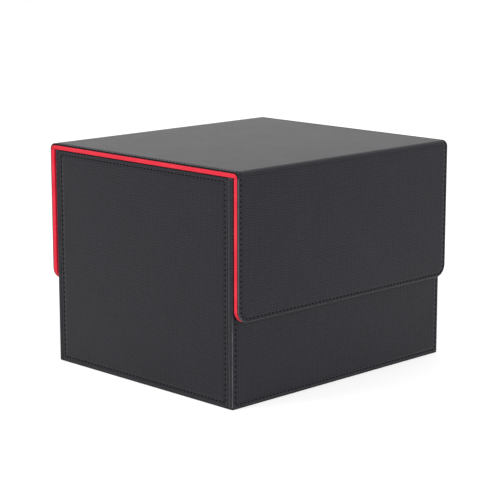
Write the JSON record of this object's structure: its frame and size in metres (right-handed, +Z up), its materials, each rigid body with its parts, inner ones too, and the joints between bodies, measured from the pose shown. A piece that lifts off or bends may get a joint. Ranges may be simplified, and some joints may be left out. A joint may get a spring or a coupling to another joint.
{
  "type": "graded card storage case",
  "caption": "Box for graded cards: an open tray with finger notches and a divider, suede lined, and a loose leather-covered lid whose front and back flaps close on hidden magnets.",
  "frame": {"origin": "under the middle of the tray, on the surface it stands on", "axes": "+X along the width, -Y towards the front flap, +Z up, with the lid closed"},
  "size_m": [0.193, 0.175, 0.145],
  "materials": {
    "leather": "black imitation leather, fine cross-hatched grain, satin",
    "lining": "red suede, matt with a soft nap",
    "board": "plain grey board",
    "magnet": "nickel-plated disc magnet"
  },
  "bodies": {
    "tray": {"back_left_insert_card": "board", "back_left_insert_suede": "lining", "back_right_insert_card": "board", "back_right_insert_suede": "lining", "back_rim_lining": "lining", "back_wall_board": "board", "back_wall_leather": "leather", "back_wall_magnet_left": "magnet", "back_wall_magnet_right": "magnet", "base_board": "board", "base_leather": "leather", "divider_board": "board", "divider_suede": "lining", "floor_lining_left": "lining", "floor_lining_right": "lining", "front_left_insert_card": "board", "front_left_insert_suede": "lining", "front_right_insert_card": "board", "front_right_insert_suede": "lining", "front_rim_lining": "lining", "front_wall_board": "board", "front_wall_leather": "leather", "front_wall_magnet_left": "magnet", "front_wall_magnet_right": "magnet", "left_insert_card": "board", "left_insert_suede": "lining", "left_rim_lining": "lining", "left_wall_board": "board", "left_wall_leather": "leather", "right_insert_card": "board", "right_insert_suede": "lining", "right_rim_lining": "lining", "right_wall_board": "board", "right_wall_leather": "leather"},
    "lid_back_flap": {"back_flap_board": "board", "back_flap_leather": "leather", "back_flap_lining": "lining", "back_flap_magnet_left": "magnet", "back_flap_magnet_right": "magnet"},
    "lid_top": {"back_fold_leather": "leather", "back_fold_lining": "lining", "front_fold_leather": "leather", "front_fold_lining": "lining", "lid_top_board": "board", "lid_top_leather": "leather", "lid_top_lining": "lining"},
    "lid_front_flap": {"front_flap_board": "board", "front_flap_leather": "leather", "front_flap_lining": "lining", "front_flap_magnet_left": "magnet", "front_flap_magnet_right": "magnet"}
  },
  "joints": [
    {"name": "lid_lift", "type": "slide", "parent": "tray", "child": "lid_back_flap", "axis": [0, 0, 1], "range_m": [0, 0.1]},
    {"name": "lid_open", "type": "hinge", "parent": "lid_back_flap", "child": "lid_top", "pos_m": [0, 0.08621, 0.14371], "axis": [-1, 0, 0], "range_deg": [0, 175], "deforming": ["back_fold_leather", "back_fold_lining"]},
    {"name": "front_flap_open", "type": "hinge", "parent": "lid_top", "child": "lid_front_flap", "pos_m": [0, -0.08621, 0.14371], "axis": [-1, 0, 0], "range_deg": [0, 175], "deforming": ["front_fold_leather", "front_fold_lining"]}
  ]
}
